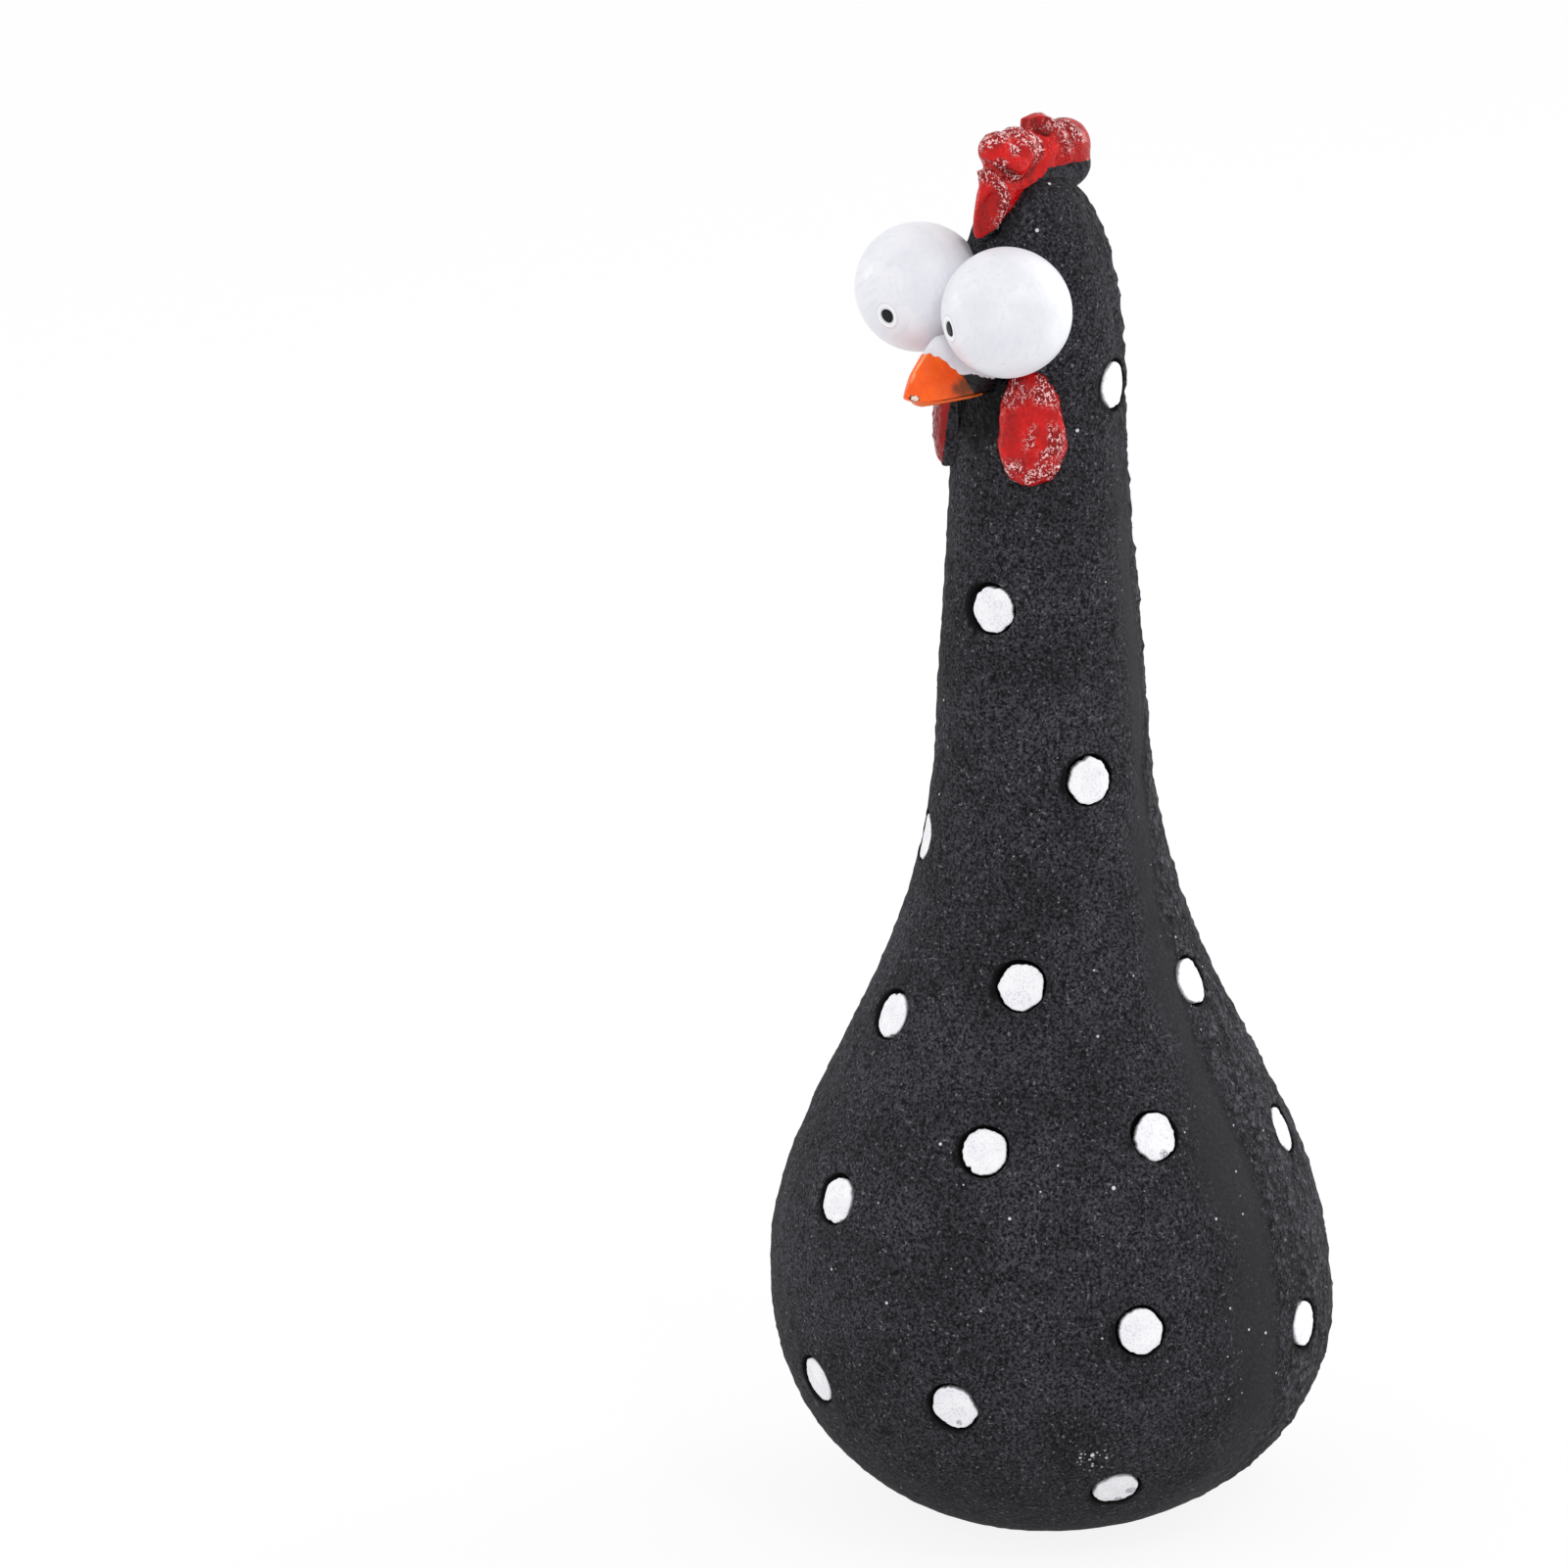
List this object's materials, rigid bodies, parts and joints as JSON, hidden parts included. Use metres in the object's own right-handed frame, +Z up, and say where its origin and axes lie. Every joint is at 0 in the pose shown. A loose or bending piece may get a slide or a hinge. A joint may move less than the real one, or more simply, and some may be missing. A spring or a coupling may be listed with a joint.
{
  "type": "resin chicken statue",
  "caption": "Tall pear-shaped resin hen ornament with a long neck, bulging white eyes, orange beak, red comb and wattles, and white polka dots on sandy black",
  "frame": {"origin": "middle of the flat underside, on the surface that the statue stands on", "axes": "+Z up to the comb, the beak looks along -Y, +X is the statue's left side"},
  "size_m": [0.079, 0.079, 0.1998],
  "materials": {
    "black_resin": "sandy matt black",
    "base_resin": "matt cast resin",
    "spot_paint": "hand-painted white",
    "white_paint": "satin brushed white",
    "black_paint": "gloss black",
    "orange_paint": "gloss orange",
    "red_paint": "gloss red over pebbled casting"
  },
  "bodies": {
    "root": {"body_shell": "black_resin", "base_disc": "base_resin", "comb": "red_paint", "beak_bridge": "white_paint", "beak_upper": "orange_paint", "beak_lower": "orange_paint", "eye_left": "white_paint", "eye_right": "white_paint", "pupil_left": "black_paint", "pupil_right": "black_paint", "wattle_left": "red_paint", "wattle_right": "red_paint", "spot_01": "spot_paint", "spot_02": "spot_paint", "spot_03": "spot_paint", "spot_04": "spot_paint", "spot_05": "spot_paint", "spot_06": "spot_paint", "spot_07": "spot_paint", "spot_08": "spot_paint", "spot_09": "spot_paint", "spot_10": "spot_paint", "spot_11": "spot_paint", "spot_12": "spot_paint", "spot_13": "spot_paint", "spot_14": "spot_paint", "spot_15": "spot_paint", "spot_16": "spot_paint", "spot_17": "spot_paint", "spot_18": "spot_paint", "spot_19": "spot_paint", "spot_20": "spot_paint", "spot_21": "spot_paint", "spot_22": "spot_paint", "spot_23": "spot_paint", "spot_24": "spot_paint", "spot_25": "spot_paint", "spot_26": "spot_paint", "spot_27": "spot_paint", "spot_28": "spot_paint", "spot_29": "spot_paint", "spot_30": "spot_paint", "spot_31": "spot_paint", "spot_32": "spot_paint"}
  },
  "joints": []
}
